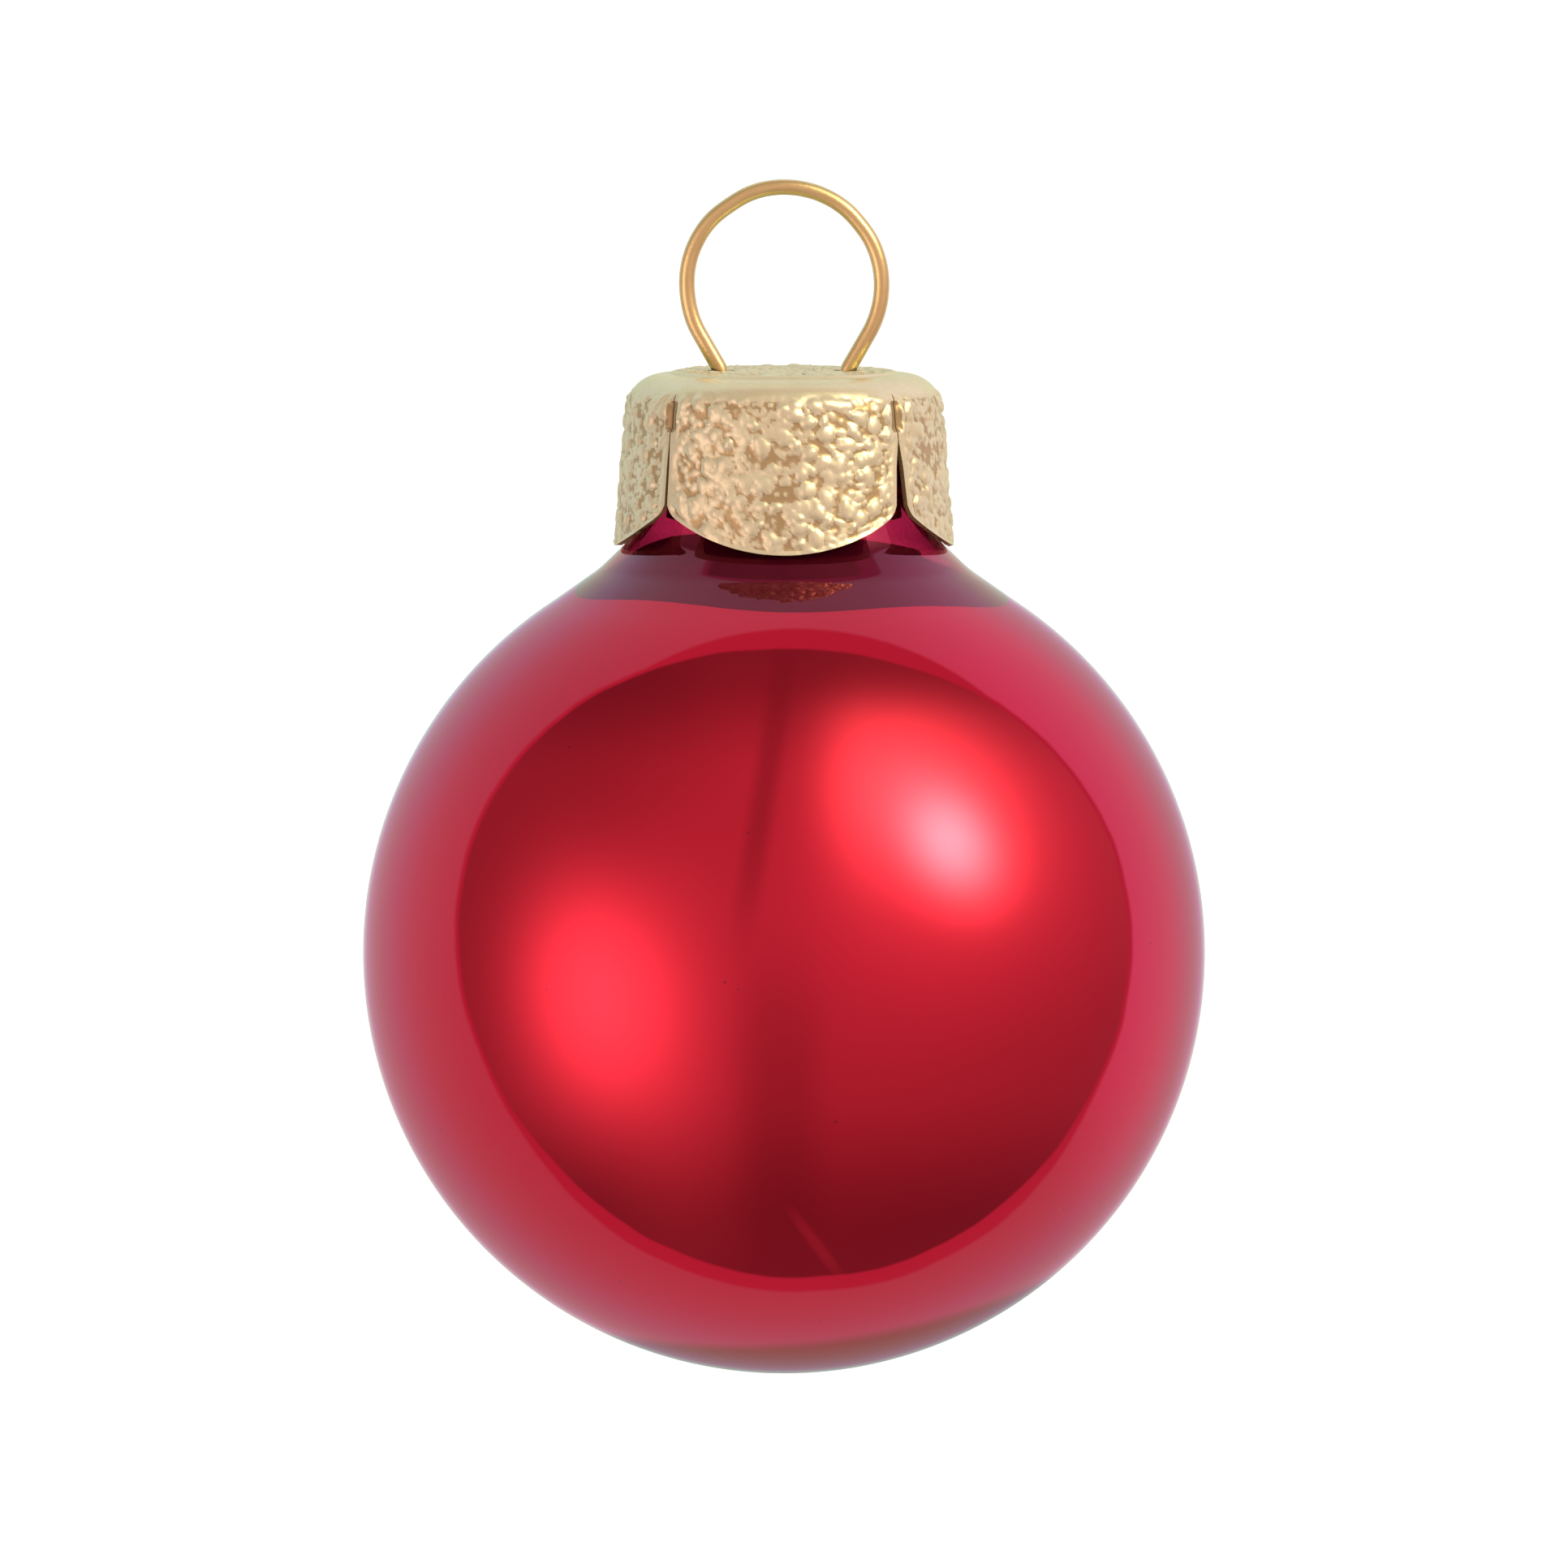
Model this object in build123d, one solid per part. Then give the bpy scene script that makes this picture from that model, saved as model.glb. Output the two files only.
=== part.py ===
from build123d import *
import math
import os

# Glass ball ornament in three pieces: a blown glass ball with a short neck, a sheet metal cap
# that covers the neck, and a wire hanger whose two legs pass through the cap into the neck.
#
# Lengths are millimetres and angles degrees. X runs across the hanger's loop and Z points up.
# The pieces are drawn with heights above the ball's centre. They are then lowered together, so
# that the origin is the point on the inside of the loop where a hook carries the ornament.

# Glass ball. Its wall leaves the round at BALL_END, runs straight up a slope and a steeper cone,
# and turns into the neck, with a hollow curve before each. Angles are how far the wall's normal
# stands above the horizontal.
BALL_RADIUS = 20.0
GLASS_WALL = 0.7
BALL_END = 56.8
JOIN_RADIUS = 3.0
SLOPE = 55.0
SLOPE_LENGTH = 2.25
BEND_RADIUS = 4.0
CONE = 46.0
CONE_LENGTH = 1.3
FLARE_RADIUS = 2.5
NECK_TOP = 26.75

# Metal cap
SHEET = 0.25
CAP_TOP = 27.5  # the flat ring round the raised disc
DISC_RADIUS = 5.25
DISC_RISE = 0.15
SHOULDER_CENTRE = 5.75  # distance of the shoulder's centre of curvature from the axis
SHOULDER_RADIUS = 1.75
SKIRT_FLARE = 4.9  # how far the skirt leans outwards from the vertical
TAB_COUNT = 4
TAB_TIP = 19.36
TAB_EDGE_RADIUS = 9.3
TAB_HALF_WIDTH = 5.9

# Slits between the tabs: a round-topped head, a narrow waist and a mouth that opens downwards
SLIT_TOP = 26.8
SLIT_HEAD_HALF = 0.26
SLIT_HEAD_END = 25.5
SLIT_WAIST_HALF = 0.06
SLIT_WAIST_TOP = 24.6
SLIT_WAIST_END = 23.4
SLIT_MOUTH_HALF = 0.2
SLIT_MOUTH_END = 21.4

# Wire hanger
WIRE_RADIUS = 0.375
LOOP_CENTRE = 31.71
LOOP_RADIUS = 4.62  # to the middle of the wire
LOOP_END = -30.0  # direction of the loop's ends, seen from its centre
CORNER_HEIGHT = 27.5  # where each leg turns outwards, in the cap's hole
CORNER_RADIUS = 1.0
LEG_SPREAD = 18.0
LEG_END = 20.6
WIRE_HOLE_RADIUS = 0.65
WIRE_HOLE_X = 3.0

HOOK_POINT = LOOP_CENTRE + LOOP_RADIUS - WIRE_RADIUS


def polar(radius, angle):
    """The point at this distance and direction from the origin."""
    return Vector(math.cos(math.radians(angle)), math.sin(math.radians(angle))) * radius


def hollow_curve(start, radius, first, last):
    """A hollow stretch of the wall, along which its normal sinks from first to last."""
    return CenterArc(start + polar(radius, first), radius, 180 + first, last - first)


def wall_side(inset):
    """The outside of the glass, or the surface inset inside it, from the bottom to the rim."""
    ball = CenterArc((0, 0), BALL_RADIUS - inset, -90, 90 + BALL_END)
    join = hollow_curve(ball @ 1, JOIN_RADIUS + inset, BALL_END, SLOPE)
    slope = Line(join @ 1, join @ 1 + polar(SLOPE_LENGTH, SLOPE + 90))
    bend = hollow_curve(slope @ 1, BEND_RADIUS + inset, SLOPE, CONE)
    cone = Line(bend @ 1, bend @ 1 + polar(CONE_LENGTH, CONE + 90))
    flare = hollow_curve(cone @ 1, FLARE_RADIUS + inset, CONE, 0)
    neck = Line(flare @ 1, ((flare @ 1).X, NECK_TOP - GLASS_WALL / 2))
    return [ball, join, slope, bend, cone, flare, neck]


def glass_ball():
    """One even wall of glass, with an open neck whose rim is fire-polished round."""
    outside = wall_side(0)
    inside = wall_side(GLASS_WALL)
    rim_centre = inside[-1] @ 1 + Vector(GLASS_WALL / 2, 0)
    rim = CenterArc(rim_centre, GLASS_WALL / 2, 0, 180)
    bottom = Line(outside[0] @ 0, inside[0] @ 0)
    return revolve(Plane.XZ * make_face([*outside, rim, *inside, bottom]), Axis.Z)


def cap_envelope(inset, bottom):
    """The cap filled solid, with every face moved inwards by inset."""
    ring_z = CAP_TOP - inset
    disc_z = ring_z + DISC_RISE
    disc_edge = DISC_RADIUS - inset * math.tan(math.radians(22.5))
    shoulder = CenterArc(
        (SHOULDER_CENTRE, CAP_TOP - SHOULDER_RADIUS),
        SHOULDER_RADIUS - inset,
        90,
        SKIRT_FLARE - 90,
    )
    skirt_top = shoulder @ 1
    skirt_x = skirt_top.X + (skirt_top.Y - bottom) * math.tan(math.radians(SKIRT_FLARE))
    outline = [
        Polyline((0, bottom), (0, disc_z), (disc_edge, disc_z), (disc_edge + DISC_RISE, ring_z),
                 (SHOULDER_CENTRE, ring_z)),
        shoulder,
        Polyline(skirt_top, (skirt_x, bottom), (0, bottom)),
    ]
    return revolve(Plane.XZ * make_face(outline), Axis.Z)


def side_cutter(outline):
    """A prism through the front wall of the cap, with the given outline seen from the front."""
    start, depth = 4.0, 6.0
    return extrude(Plane.XZ.offset(start) * make_face(outline), depth)


def tab_cutter(bottom):
    """What lies below the rounded lower edge of one tab."""
    rise = TAB_EDGE_RADIUS - math.sqrt(TAB_EDGE_RADIUS ** 2 - TAB_HALF_WIDTH ** 2)
    left = (-TAB_HALF_WIDTH, TAB_TIP + rise)
    right = (TAB_HALF_WIDTH, TAB_TIP + rise)
    return side_cutter([
        ThreePointArc(left, (0, TAB_TIP), right),
        Polyline(right, (TAB_HALF_WIDTH, bottom), (-TAB_HALF_WIDTH, bottom), left),
    ])


def slit_cutter():
    """One slit, from its round top down past the edge of the tabs."""
    head_z = SLIT_TOP - SLIT_HEAD_HALF
    side = [
        (SLIT_HEAD_HALF, head_z),
        (SLIT_HEAD_HALF, SLIT_HEAD_END),
        (SLIT_WAIST_HALF, SLIT_WAIST_TOP),
        (SLIT_WAIST_HALF, SLIT_WAIST_END),
        (SLIT_MOUTH_HALF, SLIT_MOUTH_END),
        (SLIT_MOUTH_HALF, TAB_TIP),
    ]
    other_side = [(-x, z) for x, z in reversed(side)]
    return side_cutter([
        CenterArc((0, head_z), SLIT_HEAD_HALF, 0, 180),
        Polyline(*side, *other_side),
    ])


def metal_cap():
    """A pressed cap: raised disc, round shoulder, and a skirt slit into four tabs."""
    below = TAB_TIP - 1.0
    cap = cap_envelope(0, below) - cap_envelope(SHEET, below - 1.0)
    pitch = 360 / TAB_COUNT
    for index in range(TAB_COUNT):
        cap -= Rot(Z=index * pitch) * tab_cutter(below - 1.0)
        cap -= Rot(Z=(index + 0.5) * pitch) * slit_cutter()
    for side in (-1, 1):
        cap -= Pos(side * WIRE_HOLE_X, 0, CAP_TOP) * Cylinder(WIRE_HOLE_RADIUS, 2.0)
    return cap


def hanger_side(side):
    """One leg of the hanger, from the end of the loop to the leg's tip."""
    end = math.radians(LOOP_END)
    loop_x = LOOP_RADIUS * math.cos(end)
    loop_z = LOOP_CENTRE + LOOP_RADIUS * math.sin(end)
    corner_x = loop_x + (loop_z - CORNER_HEIGHT) * math.tan(end)
    leg_x = corner_x + (CORNER_HEIGHT - LEG_END) * math.tan(math.radians(LEG_SPREAD))
    return FilletPolyline(
        (side * loop_x, loop_z),
        (side * corner_x, CORNER_HEIGHT),
        (side * leg_x, LEG_END),
        radius=CORNER_RADIUS,
    )


def wire_hanger():
    """A round loop whose ends run down through the cap and spread inside the neck."""
    loop = CenterArc((0, LOOP_CENTRE), LOOP_RADIUS, LOOP_END, 180 - 2 * LOOP_END)
    outline = Curve() + [hanger_side(1), loop, hanger_side(-1)]
    path = Wire((Plane.XZ * outline).edges())
    section = Plane(origin=path @ 0, z_dir=path % 0) * Circle(WIRE_RADIUS)
    hanger = sweep(section, path=path)
    print(f"wire length {path.length:.2f}, volume over section {hanger.volume / section.area:.2f}")
    return hanger


PIECES = {
    "glass_ball": glass_ball,
    "metal_cap": metal_cap,
    "wire_hanger": wire_hanger,
}

os.makedirs("parts", exist_ok=True)
for name, build_piece in PIECES.items():
    piece = Pos(0, 0, -HOOK_POINT) * build_piece()
    piece.label = name
    export_step(piece, f"parts/{name}.step")
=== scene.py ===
import math

import bmesh
import bpy
import numpy as np
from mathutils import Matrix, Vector, geometry


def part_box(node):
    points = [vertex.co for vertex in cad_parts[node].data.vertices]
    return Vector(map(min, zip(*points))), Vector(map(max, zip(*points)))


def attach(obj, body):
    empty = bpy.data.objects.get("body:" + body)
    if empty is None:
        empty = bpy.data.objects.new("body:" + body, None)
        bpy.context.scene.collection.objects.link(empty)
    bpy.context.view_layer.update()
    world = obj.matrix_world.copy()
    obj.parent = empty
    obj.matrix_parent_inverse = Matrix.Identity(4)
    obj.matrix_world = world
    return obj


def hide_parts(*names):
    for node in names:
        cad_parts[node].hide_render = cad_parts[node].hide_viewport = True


# Glass ball ornament: a silvered ball in clear red lacquer, an embossed gold cap and a bent wire.
#
# Meshes are drawn in millimetres, with heights above the ball's centre, and placed by to_frame().
# The ball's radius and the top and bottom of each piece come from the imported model. The rest is
# given here: wall thickness, curves and holes as in the CAD source, and what the CAD leaves out,
# such as the embossing, the uneven slits and the silver's edge, as on the real object.

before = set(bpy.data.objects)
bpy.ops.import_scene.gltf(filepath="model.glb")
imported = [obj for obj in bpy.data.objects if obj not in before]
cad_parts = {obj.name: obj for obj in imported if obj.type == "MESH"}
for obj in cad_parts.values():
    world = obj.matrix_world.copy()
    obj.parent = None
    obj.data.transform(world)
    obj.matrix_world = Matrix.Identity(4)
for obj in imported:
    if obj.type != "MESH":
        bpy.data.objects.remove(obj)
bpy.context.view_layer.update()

MM = 0.001
BALL_LOW, BALL_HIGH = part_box("glass_ball")
CAP_LOW, CAP_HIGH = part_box("metal_cap")
WIRE_LOW, WIRE_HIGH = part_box("wire_hanger")

# Ball. Its wall leaves the round at BALL_END, runs straight up a slope and a steeper cone, and
# turns into the neck, with a hollow curve before each. Angles are how far the wall's normal
# stands above the horizontal, in degrees.
FACET_SAG = 0.01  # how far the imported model's flat facets can lie inside its round surfaces
BALL_RADIUS = round((BALL_HIGH.x - BALL_LOW.x) / 2 / MM, 1) - FACET_SAG
CENTRE_Z = BALL_LOW.z + BALL_RADIUS * MM
GLASS_WALL = 0.7
BALL_STEPS = 118  # from the bottom to BALL_END
BALL_SEGMENTS = 256
RIM_STEPS = 12
BALL_END = 56.8
JOIN_RADIUS = 3.0
SLOPE = 55.0
SLOPE_LENGTH = 2.25
BEND_RADIUS = 4.0
CONE = 46.0
CONE_LENGTH = 1.3
FLARE_RADIUS = 2.5
SILVER_TOP = 17.0  # the mirror coat ends about here at the front, on the slope below the cap
SILVER_REACH = 8.0  # how far along the wall the mesh is drawn along with the silver's edge

# The silver's edge, in mm up the wall: its lean and waves all round, and its rise at the back,
# which sets in between two angles from the front, in radians.
EDGE_LEAN = 0.35
EDGE_WAVE = 0.22
EDGE_WAVES = 5
BACK_RISE = 1.9
BACK_LEAN = 0.5
BACK_FROM = (1.0, 2.4)


def above_centre(z):
    """A height of the frame, in metres, as millimetres above the ball's centre."""
    return (z - CENTRE_Z) / MM


# Cap
SHEET = 0.25
MEAN_RADIUS = 7.8
DISC_RISE = 0.15
DISC_RADIUS = 5.25
SHOULDER_CENTRE = 5.75
SHOULDER_RADIUS = 1.75
SKIRT_FLARE = math.radians(4.9)
CAP_TOP = above_centre(CAP_HIGH.z) - DISC_RISE
TAB_TIP = above_centre(CAP_LOW.z)
TAB_COUNT = 4
TAB_EDGE_RADIUS = 9.3
TAB_EDGE_REACH = 8.0  # the skirt's radius at its lower edge
TAB_EDGE_CLEAR = 0.02  # keeps the tabs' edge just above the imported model's
TAB_CORNER_START = math.radians(40)
TAB_CORNER_SWEEP = math.radians(5)
TAB_CORNER_RISE = 0.3
WIRE_HOLE_RADIUS = 0.65
WIRE_HOLE_X = 3.0
WIRE_HOLE_SIDES = 40

# Slits between the tabs: a fine cut that widens into its mouth, under a head that is pressed in
SLIT_TOP = CAP_TOP - 0.7
SLIT_TAPER = 0.1
SLIT_WAIST_TOP = 24.6
SLIT_WAIST_END = 23.4
SLIT_MOUTH_END = 21.4
SLIT_CUT = 0.03
SLIT_MOUTHS = (0.09, 0.38, 0.15, 0.11)  # half widths: front left, front right, back right and left
SLIT_BEND = 6  # the higher, the fewer of a tab's columns give way to the slit beside it
DENT_DEPTH = 0.14
DENT_FOOT = (24.9, 25.3)  # the dent sets in and is full at these heights
DENT_TOP = (26.3, 26.6)  # it ends between these heights
DENT_SIDE = (0.20, 0.34)  # and between these distances from the slit's middle
DENT_SHARE = 0.3  # a face this deep in the dent takes the darker gold, painted shade

# Embossing. Pairs are where it sets in and where it is full: down from the top of the shoulder,
# up from a tab's edge, away from a slit, in from the disc's edge and away from a wire hole.
EMBOSS_DEPTH = 0.18
EMBOSS_LEVEL = 0.4  # the relief that stays level with the plain sheet
EMBOSS_FROM_TOP = (1.5, 2.0)
EMBOSS_FROM_EDGE = (0.05, 0.2)
EMBOSS_FROM_SLIT = (0.2, 0.5)
EMBOSS_FROM_RIM = (0.0, 0.15)
EMBOSS_FROM_HOLE = (0.0, 0.35)
SLIT_SHADE_FADE = (-0.10, 0.30)  # the painted shade beside a slit fades out between these distances
SKIRT_PEBBLES = (1.3, 9.2)  # the stretch strewn with pebbles, down from the top of the shoulder

# Pebbles: how many in a mm2, their heights, half widths and longest stretch, and the power of
# their domes
GRAINS = (15.0, (0.1, 0.4), (0.09, 0.18), 1.4, 0.5)
STONES = (2.1, (0.5, 1.0), (0.13, 0.38), 1.45, 0.35)

# The cap's mesh
TAB_COLUMNS = 108
RING_ROWS = 9
SHOULDER_ROWS = 12
SKIRT_ROWS = 76
DISC_EDGE = DISC_RADIUS - 0.13  # where the disc's grid meets the rings round it
DISC_BLEND = 0.03
DISC_GRID = 0.11
DISC_MARGIN = 0.6 * DISC_GRID  # between the grid and the rings of points round it
MERGE_DISTANCE = 1e-7
SHARP_ANGLE = math.radians(60)

# Wire
WIRE_RADIUS = (WIRE_HIGH.y - WIRE_LOW.y) / 2 / MM
LOOP_RADIUS = 4.62
LOOP_CENTRE = above_centre(WIRE_HIGH.z) - WIRE_RADIUS - LOOP_RADIUS
LOOP_END = math.radians(-30.0)
CORNER_HEIGHT = CAP_TOP
CORNER_RADIUS = 1.0
LEG_SPREAD = math.radians(18.0)
LEG_END = above_centre(WIRE_LOW.z) + WIRE_RADIUS * math.sin(LEG_SPREAD)
WIRE_SIDES = 28
LOOP_STEPS = 150
FLANK_STEPS = 10
BEND_STEPS = 14
LEG_STEPS = 24
TIP_INSETS = (0.12, 0.04, 0.0)  # how much thinner the last rings at a cut end are
WIRE_FLATS = ((124, 11, 0.06), (39, 9, 0.03), (186, 14, 0.03))  # degrees, half width and depth

random = np.random.default_rng(24)


# Mesh helpers


def to_frame(points):
    """Points in millimetres above the ball's centre, as metres in the row frame."""
    placed = np.asarray(points, float) * MM
    placed[:, 2] += CENTRE_Z
    return placed


def make_piece(name, points, faces, materials, face_materials=None):
    """A smooth-shaded mesh object from points in millimetres."""
    mesh = bpy.data.meshes.new(name)
    mesh.from_pydata(to_frame(points).tolist(), [], faces)
    for material in materials:
        mesh.materials.append(material)
    if face_materials is not None:
        mesh.polygons.foreach_set("material_index", face_materials)
    mesh.polygons.foreach_set("use_smooth", [True] * len(mesh.polygons))
    mesh.update()
    made = bpy.data.objects.new(name, mesh)
    bpy.context.scene.collection.objects.link(made)
    return made


def fade(value, low, high):
    """0 at low rising smoothly to 1 at high."""
    share = np.clip((value - low) / (high - low), 0, 1)
    return share * share * (3 - 2 * share)


def arc(centre_x, centre_z, radius, start, sweep, count):
    """Points along an arc, without its last one, so that arcs and lines can follow each other."""
    turn = np.radians(start + sweep * np.arange(count) / count)
    return np.column_stack((centre_x + radius * np.cos(turn), centre_z + radius * np.sin(turn)))


def line(start, end, count):
    """Points along a line, without its last one."""
    share = np.arange(count)[:, None] / count
    return np.asarray(start) + share * (np.asarray(end) - np.asarray(start))


def lathe(radius, height, poles):
    """A surface of revolution from rings that may be uneven.

    radius and height hold one row for each ring and one column for each step round the axis.
    poles are the heights of the two points on the axis that close it.
    """
    rings, segments = radius.shape
    turn = 2 * math.pi * np.arange(segments) / segments
    points = np.column_stack((
        (radius * np.cos(turn)).ravel(),
        (radius * np.sin(turn)).ravel(),
        height.ravel(),
    ))
    ends = [(0, 0, poles[0]), (0, 0, poles[1])]
    first, last = len(points), len(points) + 1
    top = (rings - 1) * segments
    faces = []
    for k in range(segments):
        faces.append((first, (k + 1) % segments, k))
    for ring in range(rings - 1):
        for k in range(segments):
            following = (k + 1) % segments
            low, high = ring * segments, (ring + 1) * segments
            faces.append((low + k, low + following, high + following, high + k))
    for k in range(segments):
        faces.append((last, top + k, top + (k + 1) % segments))
    return np.vstack((points, ends)), faces


# Node helpers


class Value:
    """A socket of a node tree that arithmetic turns into nodes."""

    def __init__(self, tree, socket):
        self.tree = tree
        self.socket = socket

    def math(self, operation, *others):
        made = self.tree.nodes.new("ShaderNodeMath")
        made.operation = operation
        for socket, value in zip(made.inputs, (self, *others)):
            put(self.tree, socket, value)
        return Value(self.tree, made.outputs[0])

    def __add__(self, other):
        return self.math("ADD", other)

    def __sub__(self, other):
        return self.math("SUBTRACT", other)

    def __mul__(self, other):
        return self.math("MULTIPLY", other)

    def __truediv__(self, other):
        return self.math("DIVIDE", other)

    __radd__ = __add__
    __rmul__ = __mul__

    def __rsub__(self, other):
        return (self * -1.0) + other

    def __neg__(self):
        return self * -1.0

    def power(self, exponent):
        return self.math("POWER", exponent)

    def absolute(self):
        return self.math("ABSOLUTE")

    def at_least(self, other):
        return self.math("MAXIMUM", other)

    def ramp(self, low, high, first=0.0, last=1.0):
        """Rises smoothly from first at low to last at high, and is level outside."""
        made = node(self.tree, "ShaderNodeMapRange", interpolation_type="SMOOTHSTEP")
        for socket, value in zip(made.inputs, (self, low, high, first, last)):
            put(self.tree, socket, value)
        return Value(self.tree, made.outputs[0])


def put(tree, socket, value):
    """Links a Value or a socket, or sets a constant."""
    if isinstance(value, Value):
        tree.links.new(value.socket, socket)
    elif isinstance(value, bpy.types.NodeSocket):
        tree.links.new(value, socket)
    else:
        socket.default_value = value


def node(tree, kind, inputs=None, **settings):
    """A new node with these settings, and these inputs by name."""
    made = tree.nodes.new(kind)
    for name, value in settings.items():
        setattr(made, name, value)
    for name, value in (inputs or {}).items():
        put(tree, made.inputs[name], value)
    return made


def dot(tree, vector, direction):
    """How far the vector reaches along a direction."""
    made = tree.nodes.new("ShaderNodeVectorMath")
    made.operation = "DOT_PRODUCT"
    put(tree, made.inputs[0], vector)
    made.inputs[1].default_value = direction
    return Value(tree, made.outputs["Value"])


def noise(tree, vector, size, detail=2.0, roughness=0.5):
    """Noise from 0 to 1 whose features are about size across, in the vector's units."""
    made = node(tree, "ShaderNodeTexNoise", {
        "Vector": vector,
        "Scale": 1.0 / size,
        "Detail": detail,
        "Roughness": roughness,
    })
    return Value(tree, made.outputs[0])


def mix_colour(tree, share, first, second, blend="MIX"):
    """The first colour at a share of 0 and the second at 1, or their sum with blend ADD."""
    made = node(tree, "ShaderNodeMix", data_type="RGBA", blend_type=blend)
    put(tree, made.inputs[0], share)
    # the colours' own sockets come after those for numbers and vectors
    put(tree, made.inputs[6], first)
    put(tree, made.inputs[7], second)
    return made.outputs[2]


def new_material(name, constants):
    """A Principled material with these constant inputs. Gives it, its tree and its shader."""
    material = bpy.data.materials.new(name)
    material.use_nodes = True
    tree = material.node_tree
    shader = tree.nodes["Principled BSDF"]
    for socket, value in constants.items():
        shader.inputs[socket].default_value = value
    return material, tree, shader


def object_place(tree):
    """The place on the piece, in metres of the frame."""
    return node(tree, "ShaderNodeTexCoord").outputs["Object"]


def bump(tree, height, depth):
    """A normal from a height of 0 to 1, where 1 stands depth metres proud."""
    made = node(tree, "ShaderNodeBump", {"Height": height, "Strength": 1.0, "Distance": depth})
    return made.outputs[0]


# Materials


def specks(tree, place, spacing, radius):
    """1 in tiny scattered spots of dust and flaws, 0 elsewhere."""
    cells = node(tree, "ShaderNodeTexVoronoi", {"Vector": place, "Scale": 1.0 / spacing})
    return Value(tree, cells.outputs["Distance"]).ramp(0.6 * radius / spacing, radius / spacing, 1, 0)


def red_mirror_glass():
    """Silvered glass in clear red lacquer, with a few dust specks under the gloss."""
    material, tree, shader = new_material("red_mirror_glass", {
        "Metallic": 1.0,
        "Roughness": 0.03,
        "Specular Tint": (0.64, 0.0, 0.45, 1),
        "Coat Weight": 1.0,
        "Coat Roughness": 0.0,
        "Coat IOR": 1.5,
    })
    place = object_place(tree)
    tone = noise(tree, place, 14 * MM, detail=3)
    lacquer = mix_colour(tree, tone, (0.60, 0.005, 0.023, 1), (0.55, 0.003, 0.018, 1))
    dust = specks(tree, place, 2.3 * MM, 0.085 * MM)
    put(tree, shader.inputs["Base Color"], mix_colour(tree, dust * 0.7, lacquer, (0.12, 0, 0.01, 1)))
    return material


def red_clear_glass():
    """The neck's lacquered glass above the silver's edge, which lets light through."""
    material, tree, shader = new_material("red_clear_glass", {
        "Metallic": 0.2,
        "Roughness": 0.0,
        "IOR": 1.4,
        "Specular Tint": (1.0, 0.75, 0.55, 1),
        "Transmission Weight": 0.94,
    })
    tone = noise(tree, object_place(tree), 3 * MM, detail=3)
    colour = mix_colour(tree, tone, (0.60, 0.022, 0.095, 1), (0.50, 0.015, 0.075, 1))
    put(tree, shader.inputs["Base Color"], colour)
    return material


def clear_glass():
    """Bare glass: the neck's rim and the inside of the neck."""
    material, tree, shader = new_material("clear_glass", {
        "Roughness": 0.0,
        "IOR": 1.35,
        "Transmission Weight": 1.0,
    })
    haze = noise(tree, object_place(tree), 2 * MM, detail=4)
    colour = mix_colour(tree, haze, (1.0, 1.0, 1.0, 1), (0.93, 0.94, 0.94, 1))
    put(tree, shader.inputs["Base Color"], colour)
    return material


def silver_inside():
    """The mirror coat seen from inside the ball: greyer and duller than through the glass."""
    material, tree, shader = new_material("silver_inside", {"Metallic": 1.0})
    stain = noise(tree, object_place(tree), 4 * MM, detail=4)
    colour = mix_colour(tree, stain, (0.62, 0.60, 0.57, 1), (0.40, 0.37, 0.35, 1))
    put(tree, shader.inputs["Base Color"], colour)
    put(tree, shader.inputs["Roughness"], stain * 0.3 + 0.2)
    return material


def satin_gold(name, light, dark, hollow_shade):
    """Pale gold-washed sheet, satin, browner where its relief is low: painted shade, partly lacquer.
    """
    material, tree, shader = new_material(name, {
        "Metallic": 0.5,
        "Specular Tint": (1.0, 0.82, 0.60, 1),
    })
    place = object_place(tree)
    tone = noise(tree, place, 1.2 * MM, detail=5, roughness=0.6)
    # where the relief attribute is low, in the pebbles' hollows and beside the slits, the gold takes
    # the hollow colour: painted shade, in the hollows partly lacquer gathered there
    relief = node(tree, "ShaderNodeAttribute", attribute_name="relief").outputs["Fac"]
    raised = Value(tree, relief).ramp(0.0, 0.22)
    washed = mix_colour(tree, tone, light, dark)
    put(tree, shader.inputs["Base Color"], mix_colour(tree, raised, hollow_shade, washed))
    put(tree, shader.inputs["Roughness"], tone * 0.14 + 0.20)
    grain = noise(tree, place, 0.14 * MM, detail=4, roughness=0.7)
    put(tree, shader.inputs["Normal"], bump(tree, grain, 0.008 * MM))
    return material


def wire_gold():
    """Coppery gold drawn wire."""
    material, tree, shader = new_material("wire_gold", {"Metallic": 0.75})
    place = object_place(tree)
    tone = noise(tree, place, 1.5 * MM, detail=4)
    colour = mix_colour(tree, tone, (0.68, 0.57, 0.22, 1), (0.58, 0.46, 0.17, 1))
    put(tree, shader.inputs["Base Color"], colour)
    put(tree, shader.inputs["Roughness"], tone * 0.12 + 0.14)
    grain = noise(tree, place, 0.2 * MM, detail=3, roughness=0.6)
    put(tree, shader.inputs["Normal"], bump(tree, grain, 0.01 * MM))
    return material


# Ball


def polar(radius, degrees):
    """The point at this distance and direction from the origin."""
    turn = math.radians(degrees)
    return np.array((radius * math.cos(turn), radius * math.sin(turn)))


def hollow_curve(start, radius, first, last, count):
    """A hollow stretch of the wall, along which its normal sinks from first to last."""
    x, z = start + polar(radius, first)
    return arc(x, z, radius, 180 + first, last - first, count)


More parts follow.
